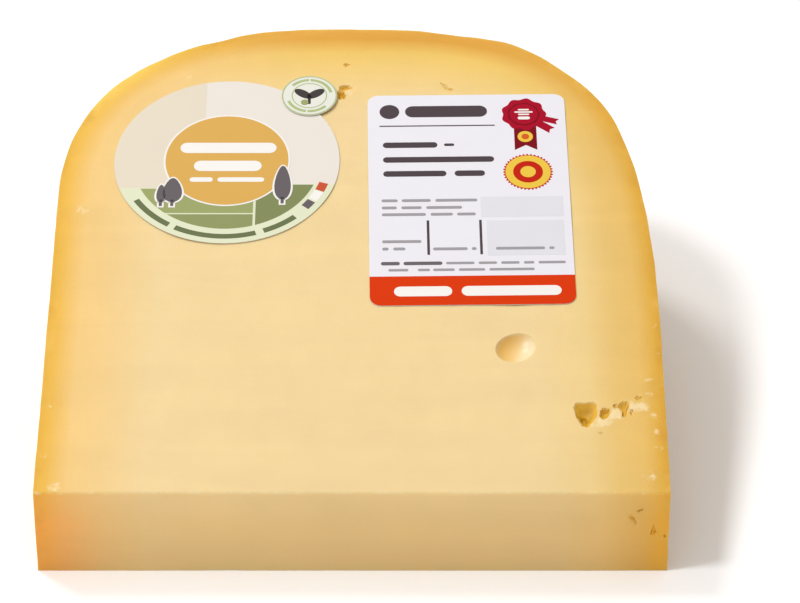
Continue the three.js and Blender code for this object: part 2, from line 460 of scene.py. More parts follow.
def cheese_material(grain):
    """Cut cheese that is pale inside and turns deep yellow at the rind, with a slight waxy shine."""
    material, tree, shader = new_material("firm_cheese")
    depth = read_attribute(tree, "rind_depth")
    front_cut = read_attribute(tree, "front_cut")
    where = tree.nodes.new("ShaderNodeTexCoord")
    split = tree.nodes.new("ShaderNodeSeparateXYZ")
    tree.links.new(where.outputs["Object"], split.inputs[0])
    across, along, height = split.outputs
    side = fade(tree, across, -WHEEL_WIDTH * 0.3, WHEEL_WIDTH * 0.4)
    upper = upper_color(tree, depth, side, across, along, height)
    color = mix_colors(tree, front_cut, upper, front_color(tree, depth, side, height, upper))
    # The rind's blotches.
    on_rind = fade(tree, depth, 0.5, 2.6, 1.0, 0.0)
    blotches = cheese_noise(tree, where.outputs["Object"], 9 * MM, Detail=6.0, Roughness=0.62)
    pale = product(tree, on_rind, fade(tree, blotches, 0.50, 0.72, 0.0, 0.5))
    color = mix_colors(tree, pale, color, RIND_PALE)
    dark = product(tree, on_rind, fade(tree, blotches, 0.48, 0.30, 0.0, 0.45))
    color = mix_colors(tree, dark, color, RIND_DARK)
    # Faint streaks across the cuts, as a cutting wire leaves them, and a fine grain.
    streaks = tree.nodes.new("ShaderNodeMapping")
    streaks.inputs["Scale"].default_value = (0.12, 1, 1)
    tree.links.new(where.outputs["Object"], streaks.inputs["Vector"])
    wire = cheese_noise(tree, streaks.outputs["Vector"], 7 * MM, Detail=3.0, Distortion=0.6)
    texture = add_grain(tree, grain, coarse=11 * MM, fine=0.9 * MM, mottle=0.07)
    color = multiply_color(tree, color, texture.outputs["Brightness"])
    color = multiply_color(tree, color, fade(tree, wire, 0.3, 0.7, 0.982, 1.018))
    # Pits, painted with an amber glow and, where deep, a darker painted shade; and the gas hole with its
    # painted shaded side and its painted lit side.
    pit_depth = read_attribute(tree, "pit_depth")
    # Painted amber glow in the pits, turning to a darker painted shade where they are deep.
    pit = mix_colors(tree, fade(tree, pit_depth, 0.35, 0.85), PIT_GLOW_COLOR, DEEP_PIT_SHADE_COLOR)
    pit = mix_colors(tree, front_cut, pit, FRONT_PIT_GLOW_COLOR)
    color = mix_colors(tree, fade(tree, pit_depth, 0.0, 0.3), color, pit)
    # Painted shade on the gas hole's left side and painted light on its right side.
    color = mix_colors(tree, read_attribute(tree, "eye_shade"), color, EYE_SHADE_COLOR)
    color = mix_colors(tree, read_attribute(tree, "eye_light"), color, EYE_LIGHT_COLOR)
    # Pale torn flecks at the crumbly places, which also stand up a little, and along the edge between
    # the cuts, where they are partly crumbs and partly a painted highlight on that edge.
    flecks = cheese_noise(tree, where.outputs["Object"], 1.1 * MM, Detail=5.0, Roughness=0.65)
    crumbs_and_edge_highlight = read_attribute(tree, "crumbs_and_edge_highlight")
    fleck = math_node(tree, "ADD", flecks, crumbs_and_edge_highlight)
    color = mix_colors(tree, fade(tree, fleck, 0.86, 1.16, 0.0, 0.85), color, CRUMB_AND_EDGE_HIGHLIGHT_COLOR)
    tree.links.new(color, shader.inputs["Base Color"])
    crumbs = product(tree, product(tree, crumbs_and_edge_highlight, flecks), 8.0)
    relief = math_node(tree, "ADD", texture.outputs["Height"], crumbs)
    add_bump(tree, shader, relief, strength=0.25, distance=0.15 * MM)
    roughness = fade(tree, read_attribute(tree, "eye_gloss"), 0, 1, 0.5, 0.33)
    tree.links.new(roughness, shader.inputs["Roughness"])
    shader.inputs["Specular IOR Level"].default_value = 0.35
    shader.inputs["Subsurface Weight"].default_value = 0.2
    shader.inputs["Subsurface Radius"].default_value = (1.0, 0.55, 0.2)
    shader.inputs["Subsurface Scale"].default_value = 3 * MM
    return material


# Paper is a little smoother than ink, and strong inks shine less than pale ones.
PAPER_ROUGHNESS = 0.42
INK_ROUGHNESS = 0.5
STRONG_INK = 40
STRONG_INK_SHINE = 0.06
PAPER_SHINE = 0.2


def paper_material(name, color, grain, roughness=INK_ROUGHNESS):
    """Printed sticker paper in one ink: faint mottling and a fibrous surface."""
    material, tree, shader = new_material(name)
    ink = tree.nodes.new("ShaderNodeRGB")
    ink.outputs[0].default_value = srgb(*color)
    texture = add_grain(tree, grain, coarse=5 * MM, fine=0.25 * MM, mottle=0.04)
    tree.links.new(
        multiply_color(tree, ink.outputs[0], texture.outputs["Brightness"]),
        shader.inputs["Base Color"],
    )
    add_bump(tree, shader, texture.outputs["Height"], strength=0.15, distance=0.02 * MM)
    shader.inputs["Roughness"].default_value = roughness
    shine = STRONG_INK_SHINE if min(color) < STRONG_INK else PAPER_SHINE
    shader.inputs["Specular IOR Level"].default_value = shine
    return material


# ------------------------------------------------------------------------------ cheese

# The gas hole: its middle on the upper cut, and how far its marks reach, in millimetres.
EYE = {"x": 30.3, "up": 34.9}
EYE_REACH = 6
# Outlines of the pits where curd didn't knit, each with its depth, in millimetres on their cut.
UPPER_PITS = [
    ([(40.5, 20.5), (41.0, 21.6), (44.4, 21.7), (45.1, 21.1), (45.1, 18.6), (44.1, 16.9), (43.0, 15.4),
      (42.0, 15.8), (41.0, 17.8)], 1.2),
    ([(41.2, 19.0), (42.3, 19.9), (43.4, 18.8), (43.4, 17.0), (42.7, 16.2), (41.9, 16.8)], 1.6),
    ([(45.4, 19.5), (46.0, 20.4), (47.2, 20.1), (47.4, 18.9), (46.6, 17.6), (45.8, 17.3),
      (45.2, 18.2)], 0.75),
    ([(48.5, 20.7), (49.7, 22.0), (50.7, 21.8), (51.0, 20.7), (50.5, 19.8), (50.1, 18.0), (49.4, 18.0),
      (49.3, 19.5)], 0.75),
    ([(50.7, 20.0), (51.5, 19.9), (51.8, 18.6), (51.1, 18.4)], 0.3),
    ([(47.7, 21.0), (48.6, 21.3), (49.0, 20.5), (48.0, 20.0)], 0.3),
    ([(51.8, 22.7), (52.4, 23.3), (53.3, 23.0), (53.2, 22.3), (52.4, 22.0)], 0.3),
    ([(44.9, 14.3), (45.5, 14.8), (45.9, 14.1), (45.3, 13.6)], 0.15),
    ([(-2.7, 110.4), (-2.1, 110.9), (-1.2, 110.4), (-1.6, 109.8), (-2.3, 109.6)], 0.4),
    ([(-3.5, 104.2), (-2.7, 104.6), (-1.3, 104.5), (-0.7, 103.7), (-1.5, 103.3), (-2.6, 102.7),
      (-3.5, 102.9)], 0.6),
    ([(-4.1, 102.5), (-3.4, 103.0), (-2.5, 102.6), (-1.9, 101.6), (-2.2, 100.6), (-3.2, 100.4),
      (-3.8, 100.9)], 0.8),
    ([(16.6, 105.3), (18.0, 104.5), (19.6, 102.9), (19.0, 102.4), (17.4, 103.6)], 0.3),
]
FRONT_PITS = [
    ([(51.3, 13.3), (51.9, 13.9), (52.9, 14.3), (52.7, 13.7), (51.9, 13.1)], 0.25),
    ([(49.9, 12.3), (50.6, 12.9), (51.0, 12.0), (51.8, 10.8), (51.5, 10.1), (50.8, 10.9)], 0.3),
    ([(54.5, 10.7), (55.0, 9.6), (55.4, 8.5), (54.9, 7.9), (54.0, 8.1), (54.3, 9.3)], 0.45),
    ([(56.4, 8.3), (57.0, 8.1), (57.1, 7.4), (56.6, 7.2)], 0.3),
]
# Crumbly places on the upper cut: across, up the cut, radius and strength.
CRUMBLY_PLACES = [
    (46.2, 17.2, 1.7, 0.80), (48.4, 18.6, 1.8, 0.85), (51.6, 20.4, 1.8, 0.80), (44.2, 15.8, 1.2, 0.62),
    (53.6, 20.6, 1.6, 0.66), (55.4, 18.4, 1.6, 0.56), (54.6, 23.6, 1.5, 0.54), (55.6, 14.6, 1.6, 0.50),
    (54.9, 27.1, 1.3, 0.58), (56.4, 33.7, 1.2, 0.48), (56.4, 40.3, 1.1, 0.54), (55.8, 10.7, 1.6, 0.52),
    (54.0, 3.7, 2.4, 0.50), (-53.8, 1.5, 2.2, 0.60), (-56.0, 8.7, 1.4, 0.52), (-55.4, 20.7, 1.2, 0.48),
    (-52.2, 70.3, 2.4, 0.46), (-33.2, 106.5, 1.2, 0.55), (-30.1, 113.7, 1.1, 0.48),
    (-24.6, 112.7, 1.1, 0.48), (-0.6, 110.3, 1.0, 0.54), (-1.0, 102.2, 1.2, 0.66),
    (20.3, 103.1, 0.9, 0.50), (-53.5, 50.7, 1.2, 0.44),
]
# How strong the pale flecks along the edge between the two cuts are, partly crumbs and partly a
# painted highlight on that edge, and how far from it they reach.
EDGE_CRUMBS_AND_HIGHLIGHT = 0.52
EDGE_REACH = 0.6
# Where the rim is uneven: across, width and outward shift.
RIM_UNEVENNESS = [
    (0, 80.0, -0.3), (19.5, 7.0, -0.5), (30.5, 3.2, 0.35), (41.5, 4.5, -0.75), (52.0, 3.6, 1.0),
    (-27.5, 3.0, -0.3), (-38.0, 7.0, -0.45),
]
# The unevenness fades within this depth below the rind, and within this band inside the rim.
UNEVEN_DEPTH = 6 * MM
RIM_BAND = 40 * MM
# Points closer together than these are merged, on the wheel's section and on the finished wedge.
SAME_POINT = 0.01 * MM
SAME_BODY_POINT = 0.02 * MM
# A block that cuts the wedge out: its sides on the upper cut in millimetres, and their numbers of steps.
BLOCK_WIDTH, BLOCK_LENGTH = 124, 134
BLOCK_COLUMNS, BLOCK_ROWS = 116, 124
# The heights of the block's lower rows, each as a share of the one above it.
ROW_SHARES = (0.86, 0.7, 0.6, 0.4, 0.12, 0.0)
FRONT_EDGE_ROUNDING = 0.55 * MM


def section_outline():
    """The wheel's section beyond the tip cut, in the plane of the lower cut, as one filled face."""
    half = WHEEL_WIDTH / 2
    inner = AXIS_Y + TIP_CUT * 0.9
    rim = AXIS_Y + WHEEL_RADIUS
    face_l, face_r = rim - LEFT_EDGE["deep"], rim - RIGHT_EDGE["deep"]
    rim_l, rim_r = -half + LEFT_EDGE["across"], half - RIGHT_EDGE["across"]
    # Each corner's place, and its handle towards the corner before it and after it, if it is curved there.
    corners = [
        ((-half, inner), None, None),
        ((-half, face_l), None, (-half, face_l + LEFT_EDGE["face_hold"])),
        ((rim_l, rim), (rim_l - LEFT_EDGE["rim_hold"], rim), None),
        ((rim_r, rim), None, (rim_r + RIGHT_EDGE["rim_hold"], rim)),
        ((half, face_r), (half, face_r + RIGHT_EDGE["face_hold"]), None),
        ((half, inner), None, None),
    ]
    bpy.ops.curve.primitive_bezier_curve_add()
    outline = bpy.context.object
    spline = outline.data.splines[0]
    spline.bezier_points.add(len(corners) - 2)
    for point, (place_at, before, after) in zip(spline.bezier_points, corners):
        point.co = (*place_at, 0)
        point.handle_left_type = "FREE" if before else "VECTOR"
        point.handle_right_type = "FREE" if after else "VECTOR"
        if before:
            point.handle_left = (*before, 0)
        if after:
            point.handle_right = (*after, 0)
    spline.use_cyclic_u = True
    outline.data.resolution_u = OUTLINE_STEPS
    activate(outline)
    bpy.ops.object.convert(target="MESH")
    edit()
    bpy.ops.mesh.select_mode(type="EDGE")
    bpy.ops.mesh.remove_doubles(threshold=SAME_POINT)
    object_mode()
    for edge in outline.data.edges:
        start, end = (outline.data.vertices[index].co for index in edge.vertices)
        edge.select = (start - end).length > LONG_EDGE
    bpy.ops.object.mode_set(mode="EDIT")
    bpy.ops.mesh.subdivide(number_cuts=LONG_EDGE_CUTS)
    bpy.ops.mesh.select_all(action="SELECT")
    bpy.ops.mesh.edge_face_add()
    object_mode()
    return outline


def rind_line():
    """Points along the wheel's outer surface as (across, radius), for measuring depth below it."""

    def curve(p0, p1, p2, p3):
        t = np.linspace(0, 1, 60)[:, None]
        p0, p1, p2, p3 = (np.array(p) for p in (p0, p1, p2, p3))
        return p0 * (1 - t) ** 3 + 3 * p1 * t * (1 - t) ** 2 + 3 * p2 * t**2 * (1 - t) + p3 * t**3

    half = WHEEL_WIDTH / 2
    line = [np.array([[-half, 0.0]])]
    for side, e in ((-1, LEFT_EDGE), (1, RIGHT_EDGE)):
        face_end = (side * half, WHEEL_RADIUS - e["deep"])
        rim_end = (side * (half - e["across"]), WHEEL_RADIUS)
        bend = curve(
            face_end,
            (face_end[0], face_end[1] + e["face_hold"]),
            (rim_end[0] + side * e["rim_hold"], rim_end[1]),
            rim_end,
        )
        line.append(bend if side < 0 else bend[::-1])
    line.append(np.array([[half, 0.0]]))
    return np.concatenate(line)


def get_points(obj):
    """A piece's points in metres, as an array of rows."""
    points = np.empty(len(obj.data.vertices) * 3)
    obj.data.vertices.foreach_get("co", points)
    return points.reshape(-1, 3)


def set_points(obj, points):
    obj.data.vertices.foreach_set("co", points.ravel())
    obj.data.update()


def rind_depths(points):
    """How deep each point is below the wheel's outer surface, in metres."""
    section = np.stack([points[:, 0], np.hypot(points[:, 1] - AXIS_Y, points[:, 2])], 1)
    line = rind_line()
    depth = np.full(len(points), 1.0)
    for a, b in zip(line[:-1], line[1:]):
        along = b - a
        t = np.clip(((section - a) @ along) / (along @ along), 0, 1)
        depth = np.minimum(depth, np.linalg.norm(section - a - t[:, None] * along, axis=1))
    return depth


def in_frame(points, frame_matrix):
    """Points in a cut's own frame, in millimetres: across, up the cut, and out of the cheese."""
    inverse = np.array(frame_matrix.inverted())
    return (points @ inverse[:3, :3].T + inverse[:3, 3]) / MM


def sunk(points, start, full):
    """How far points lie below a cut: 0 down to the start depth, and 1 from the full depth below it."""
    return np.clip(-points[:, 2] - start, 0, full) / full


def over_pits(points, pits, margin):
    """Whether points in a cut's frame lie in its pits, rather than on another side."""
    found = np.zeros(len(points), dtype=bool)
    for outline, depth in pits:
        low, high = np.min(outline, axis=0) - margin, np.max(outline, axis=0) + margin
        inside = np.all((points[:, :2] > low) & (points[:, :2] < high), axis=1)
        found |= inside & (points[:, 2] > -depth - 1.5)
    return found


def crumbly_places_and_edge_highlight(upper, front):
    """How crumbly the cheese is at each point, from the listed places, and the pale flecks along the edge
    between the cuts, which are partly crumbs and partly a painted edge highlight.
    """
    crumbs_and_edge_highlight = np.zeros(len(upper))
    for x, up, radius, strength in CRUMBLY_PLACES:
        near = np.hypot(upper[:, 0] - x, upper[:, 1] - up) / radius
        crumbs_and_edge_highlight = np.maximum(crumbs_and_edge_highlight, strength * np.exp(-(near**2)) * (upper[:, 2] > -0.6))
    # Along the edge between the cuts the pale flecks are partly crumbs and partly a painted highlight.
    from_edge = np.hypot(front[:, 2], upper[:, 2]) / EDGE_REACH
    return np.maximum(crumbs_and_edge_highlight, EDGE_CRUMBS_AND_HIGHLIGHT * np.exp(-(from_edge**2)))


def store_marks(obj):
    """Stores what the material reads: rind depth, the front cut, the gas hole's gloss, painted shade and
    painted light, pit depth for the pits' painted glow and shade, and crumbliness with the painted edge
    highlight.
    """
    points = get_points(obj)
    upper, front = in_frame(points, UPPER_CUT), in_frame(points, FRONT_CUT)
    depth = rind_depths(points) / MM
    from_eye = np.hypot(upper[:, 0] - EYE["x"], upper[:, 1] - EYE["up"])
    upper_pit = sunk(upper, 0.1, 1.2) * (from_eye > EYE_REACH)
    front_pit = sunk(front, 0.1, 0.7)
    in_front_pit = (front[:, 2] > -1.5) * (front_pit > 0) * (upper[:, 2] < -1)
    on_front = np.clip(1 - np.abs(front[:, 2]) / 0.9, 0, 1) * (upper[:, 2] < -0.12)
    pit_depth = np.where(
        over_pits(upper, UPPER_PITS, 0.3), upper_pit, front_pit * over_pits(front, FRONT_PITS, 0.2)
    )
    # The gas hole's painted shade lies on its left side and its painted light on its right side.
    eye = sunk(upper, 0.05, 0.4) * (from_eye < EYE_REACH)
    lean = (upper[:, 0] - EYE["x"]) * 0.9 - (upper[:, 1] - EYE["up"]) * 0.35
    marks = {
        "eye_gloss": eye,
        "eye_shade": eye * np.clip(0.45 - lean / 3.5, 0, 1),
        "eye_light": eye * np.clip(lean / 2.6, 0, 1),
        "rind_depth": depth,
        "front_cut": on_front + in_front_pit,
        "pit_depth": pit_depth * (depth > 0.25),
        "crumbs_and_edge_highlight": crumbly_places_and_edge_highlight(upper, front),
    }
    for name, values in marks.items():
        attribute = obj.data.attributes.new(name, "FLOAT", "POINT")
        attribute.data.foreach_set("value", np.clip(values, 0, 200).astype(np.float32))


def shape_rim(obj):
    """Makes the wheel's rim slightly uneven along its width, fading out below the rind."""
    points = get_points(obj)
    outward = np.zeros(len(points))
    for x, width, shift in RIM_UNEVENNESS:
        outward += shift * np.exp(-(((points[:, 0] / MM - x) / width) ** 2))
    outward *= np.exp(-((rind_depths(points) / UNEVEN_DEPTH) ** 2)) * MM
    radius = np.hypot(points[:, 1] - AXIS_Y, points[:, 2])
    near_rim = np.clip((radius - (WHEEL_RADIUS - RIM_BAND)) / (RIM_BAND / 2), 0, 1)
    grown = 1 + outward * near_rim / radius
    points[:, 1] = AXIS_Y + (points[:, 1] - AXIS_Y) * grown
    points[:, 2] *= grown
    set_points(obj, points)


def keep_in_box(obj):
    """Flattens what pokes out of the CAD part's box, so the foot and the front stand true."""
    set_points(obj, np.clip(get_points(obj), np.array(CAD_BOX[0]), np.array(CAD_BOX[1])))


def displace(obj, name, size, strength):
    """Pushes the surface in and out by soft noise of one size."""
    texture = bpy.data.textures.new(name, "CLOUDS")
    texture.noise_scale = size
    modifier = obj.modifiers.new(name, "DISPLACE")
    modifier.texture = texture
    modifier.strength = strength
    modifier.mid_level = 0.5


def crumbly_pit(outline, depth, frame_matrix, seed):
    """A rough pit with the given outline, which narrows as it goes into the cheese."""
    parts = 4
    rise = 0.5
    bpy.ops.mesh.primitive_circle_add(vertices=len(outline) * parts, fill_type="NGON")
    cutter = bpy.context.object
    dice = random.Random(seed)
    for index, vertex in enumerate(cutter.data.vertices):
        corner, share = divmod(index, parts)
        start, end = Vector(outline[corner]), Vector(outline[(corner + 1) % len(outline)])
        at = start.lerp(end, share / parts)
        jitter = 0.11 if share else 0.05
        x = at.x + dice.uniform(-jitter, jitter)
        y = at.y + dice.uniform(-jitter, jitter)
        vertex.co = in_mm(x, y, rise)
    middle = sum((Vector(point) for point in outline), Vector((0, 0))) / len(outline)
    edit()
    # Each step goes this far down, and leaves the pit this much narrower.
    for down, narrowing in ((rise, 1.0), (depth * 0.45, 0.82), (depth * 0.55, 0.5)):
        bpy.ops.mesh.extrude_region_move(TRANSFORM_OT_translate={"value": in_mm(0, 0, -down)})
        bpy.ops.transform.resize(
            value=(narrowing, narrowing, 1), center_override=in_mm(middle.x, middle.y)
        )
        if narrowing < 1:
            bpy.ops.transform.vertex_random(offset=0.16 * MM, seed=seed)
    bpy.ops.mesh.select_all(action="SELECT")
    bpy.ops.mesh.normals_make_consistent(inside=False)
    object_mode()
    cutter.data.transform(frame_matrix)
    return cutter


def combine(body, operation, other):
    """Cuts one closed piece out of another, or keeps what they share, and removes the other."""
    boolean = body.modifiers.new("boolean", "BOOLEAN")
    boolean.operation = operation
    boolean.solver = "MANIFOLD"
    boolean.object = other
    apply_modifiers(body)
    bpy.data.objects.remove(other)


def eye_cutter():
    """The gas hole: a smooth shallow bowl, a little steeper towards its left."""
    bpy.ops.mesh.primitive_ico_sphere_add(subdivisions=5, radius=1)
    cutter = bpy.context.object
    bowl = Matrix.Translation(in_mm(0, 0, 2.9)) @ Matrix.Diagonal((*in_mm(4.9, 4.7, 4.5), 1))
    steeper = Matrix.Shear("XZ", 4, (0.16, 0.0))
    spot = Matrix.Translation(in_mm(EYE["x"], EYE["up"]))
    cutter.data.transform(UPPER_CUT @ spot @ steeper @ bowl)
    return cutter


def wheel_sector():
    """The wheel's section turned through a little more than the wedge's angle."""
    sector = section_outline()
    about_axis = Matrix.Translation((0, AXIS_Y, 0))
    start = Matrix.Rotation(-OVERCUT, 4, "X")
    sector.data.transform(about_axis @ start @ about_axis.inverted())
    activate(sector)
    edit()
    turn = -WEDGE_ANGLE - 2 * OVERCUT
    bpy.ops.mesh.spin(steps=SECTOR_STEPS, angle=turn, center=(0, AXIS_Y, 0), axis=(1, 0, 0))
    bpy.ops.mesh.select_all(action="SELECT")
    bpy.ops.mesh.remove_doubles(threshold=SAME_POINT)
    bpy.ops.mesh.normals_make_consistent(inside=False)
    object_mode()
    return sector


def soften_front_edge(block):
    """Rounds the block's edge between the upper cut and the front cut."""
    bpy.ops.mesh.select_all(action="DESELECT")
    object_mode()
    points = get_points(block)
    on_edge = np.hypot(points[:, 1] - FRONT_Y, points[:, 2] - FRONT_HEIGHT) < 5 * SAME_POINT
    for edge in block.data.edges:
        edge.select = bool(all(on_edge[index] for index in edge.vertices))
    bpy.ops.object.mode_set(mode="EDIT")
    bpy.ops.mesh.bevel(offset=FRONT_EDGE_ROUNDING, segments=3)


def cut_grid():
    """A block with a fine grid on the upper cut, the front cut and the foot, wider than the wheel."""
    bpy.ops.mesh.primitive_grid_add(x_subdivisions=BLOCK_COLUMNS, y_subdivisions=BLOCK_ROWS, size=1)
    block = bpy.context.object
    for vertex in block.data.vertices:
        vertex.co = in_mm(vertex.co.x * BLOCK_WIDTH, BLOCK_LENGTH * (vertex.co.y + 0.5))
    block.data.transform(UPPER_CUT)
    activate(block)
    edit()
    bpy.ops.mesh.extrude_region_move(TRANSFORM_OT_translate={"value": in_mm(0, 0, -1)})
    for share in ROW_SHARES:
        bpy.ops.mesh.extrude_region_move()
        bpy.ops.transform.resize(value=(1, 1, share), center_override=(0, 0, 0))
    bpy.ops.mesh.select_all(action="SELECT")
    bpy.ops.mesh.normals_make_consistent(inside=False)
    soften_front_edge(block)
    object_mode()
    return block


def make_body():
    """The wedge: a sector of the wheel between the upper cut, the front cut and the foot."""
    body = wheel_sector()
    combine(body, "INTERSECT", cut_grid())
    edit()
    bpy.ops.mesh.select_all(action="SELECT")
    bpy.ops.mesh.remove_doubles(threshold=SAME_BODY_POINT)
    bpy.ops.mesh.normals_make_consistent(inside=False)
    object_mode()
    return body


def add_cheese(grain):
    body = make_body()
    displace(body, "rind_lumps", size=14 * MM, strength=0.3 * MM)
    displace(body, "rind_crumbs", size=3.5 * MM, strength=0.12 * MM)
    apply_modifiers(body)
    shape_rim(body)
    keep_in_box(body)
    combine(body, "DIFFERENCE", eye_cutter())
    seed = 0
    for frame_matrix, pits in ((UPPER_CUT, UPPER_PITS), (FRONT_CUT, FRONT_PITS)):
        for outline, depth in pits:
            seed += 1
            combine(body, "DIFFERENCE", crumbly_pit(outline, depth, frame_matrix, seed))
    store_marks(body)
    activate(body)
    bpy.ops.object.shade_smooth_by_angle(angle=math.radians(40))
    body.name = "cheese_body"
    body.data.name = "cheese_body"
    body.data.materials.clear()
    body.data.materials.append(cheese_material(grain))
    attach(body, "root")
    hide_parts("cheese")


# ------------------------------------------------------------------------------ stickers

# The inks and papers, as display colours.
WHITE_PAPER = (222, 220, 226)
CREAM_PAPER = (220, 213, 204)
CREAM_SHADE = (215, 205, 186)
SMALL_PAPER = (218, 218, 208)
WHITE_INK = (230, 227, 222)
DARK_INK = (68, 56, 60)
DARK_GREY_INK = (96, 90, 94)
GREY_INK = (150, 146, 150)
PALE_GREY = (212, 211, 217)
RED_BAND = (206, 53, 3)
CRIMSON = (160, 8, 38)
DARK_CRIMSON = (118, 10, 24)
SEAL_YELLOW = (222, 186, 60)
SEAL_ORANGE = (200, 88, 34)
SEAL_RED = (184, 32, 14)
SUN = (206, 161, 78)
RIM_GREEN = (212, 216, 186)
LIGHT_FIELD = (146, 154, 97)
MIDDLE_FIELD = (134, 141, 89)
DARK_FIELD = (120, 128, 80)
OLIVE_INK = (96, 106, 68)
SLATE = (94, 87, 90)
PATCH_RED = (190, 76, 42)
RING_GREEN = (164, 178, 122)
SPRIG_INK = (56, 50, 50)

# Sizes below are in millimetres, from the middle of each sticker: X to the right and Y up the cut.
# PAPER is a sticker's thickness, LIFT its clearance from the cheese and FILM a layer of ink.
PAPER = 0.2
LIFT = 0.05
FILM = 0.02
ROUND_LABEL = {"x": -25.1, "up": 83.3, "turn": 0.0, "lift": LIFT, "radius": 22.0}
PRICE_LABEL = {"x": 22.1, "up": 73.5, "turn": 0.8, "lift": LIFT, "width": 39.0, "length": 56.0}
SMALL_LABEL = {"x": -9.3, "up": 101.0, "turn": 0.0, "lift": LIFT + PAPER + 0.1, "radius": 5.5}


def thicken(obj, bottom, top):
    """Gives a flat outline its thickness."""
    obj.data.transform(Matrix.Translation(in_mm(0, 0, bottom)))
    activate(obj)
    edit()
    bpy.ops.mesh.extrude_region_move(TRANSFORM_OT_translate={"value": in_mm(0, 0, top - bottom)})
    bpy.ops.mesh.select_all(action="SELECT")
    bpy.ops.mesh.normals_make_consistent(inside=False)
    object_mode()
    return obj


def flat_bar(x0, y0, x1, y1, corner=None):
    """A rectangle with rounded corners. With no corner given, its ends are half round."""
    width, height = x1 - x0, y1 - y0
    bpy.ops.mesh.primitive_plane_add(size=1)
    obj = bpy.context.object
    middle = Matrix.Translation(in_mm((x0 + x1) / 2, (y0 + y1) / 2))
    obj.data.transform(middle @ Matrix.Diagonal((width * MM, height * MM, 1, 1)))
    corner = min(width, height) * 0.49 if corner is None else corner
    if corner:
        edit()
        bpy.ops.mesh.bevel(offset=corner * MM, segments=6, affect="VERTICES")
        object_mode()
    return obj


def flat_disc(x, y, radius, steps=64, oval=1.0):
    """A disc, or an oval that is taller than it is wide by a factor."""
    bpy.ops.mesh.primitive_circle_add(vertices=steps, radius=radius * MM, fill_type="NGON")
    obj = bpy.context.object
    obj.data.transform(Matrix.Translation(in_mm(x, y)) @ Matrix.Diagonal((1, oval, 1, 1)))
    return obj


def clip(obj, x, y, degrees):
    """Keeps what lies ahead of a straight cut through a point, facing the given direction."""
    activate(obj)
    edit()
    facing = (math.cos(math.radians(degrees)), math.sin(math.radians(degrees)), 0)
    bpy.ops.mesh.bisect(plane_co=in_mm(x, y), plane_no=facing, clear_inner=True)
    object_mode()
    return obj


def flat_arc(inner, outer, start, end, steps=180):
    """A band of a ring about the middle, whole or between two directions less than 180 degrees apart."""
    bpy.ops.mesh.primitive_circle_add(vertices=steps, radius=outer * MM)
    obj = bpy.context.object
    edit()
    bpy.ops.mesh.extrude_edges_move()
    share = inner / outer
    bpy.ops.transform.resize(value=(share, share, 1), center_override=(0, 0, 0))
    object_mode()
    if end - start < 180:
        clip(obj, 0, 0, start + 90)
        clip(obj, 0, 0, end - 90)
    return obj


def reshape(obj, rule):
    """Moves each point of a flat outline by a rule of its place in millimetres."""
    for vertex in obj.data.vertices:
        x, y = rule(vertex.co.x / MM, vertex.co.y / MM)
        vertex.co = in_mm(x, y)
    return obj


def turned(obj, x, y, degrees):
    """Turns a flat outline about the middle and then moves it."""
    obj.data.transform(
        Matrix.Translation(in_mm(x, y)) @ Matrix.Rotation(math.radians(degrees), 4, "Z")
    )
    return obj


def add_paper(outline, label, node, slot, color, grain):
    """A sticker's paper, which stands for the CAD sticker."""
    material = paper_material(slot, color, grain, PAPER_ROUGHNESS)
    finish_piece(thicken(outline, 0, PAPER), node + "_paper", label, material, node)


def printer(label, node, grain):
    """Gives a function that lays fields of one ink on a sticker. A higher layer lies over a lower one."""

    def ink(name, outlines, layer, color):
        films = [thicken(each, PAPER - FILM / 2, PAPER + layer * FILM) for each in outlines]
        material = paper_material(name, color, grain)
        name = node + "_" + name
        finish_piece(join(films, name), name, label, material)

    return ink


def finish_piece(obj, name, label, material, node=None):
    """Puts a piece where its sticker lies on the upper cut, with its name, material and body."""
    spot = Matrix.Translation(in_mm(label["x"], label["up"], label["lift"]))
    obj.data.transform(UPPER_CUT @ spot @ Matrix.Rotation(math.radians(label["turn"]), 4, "Z"))
    obj.name = name
    obj.data.name = name
    obj.data.materials.clear()
    obj.data.materials.append(material)
    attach(obj, "root")
    if node:
        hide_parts(node)


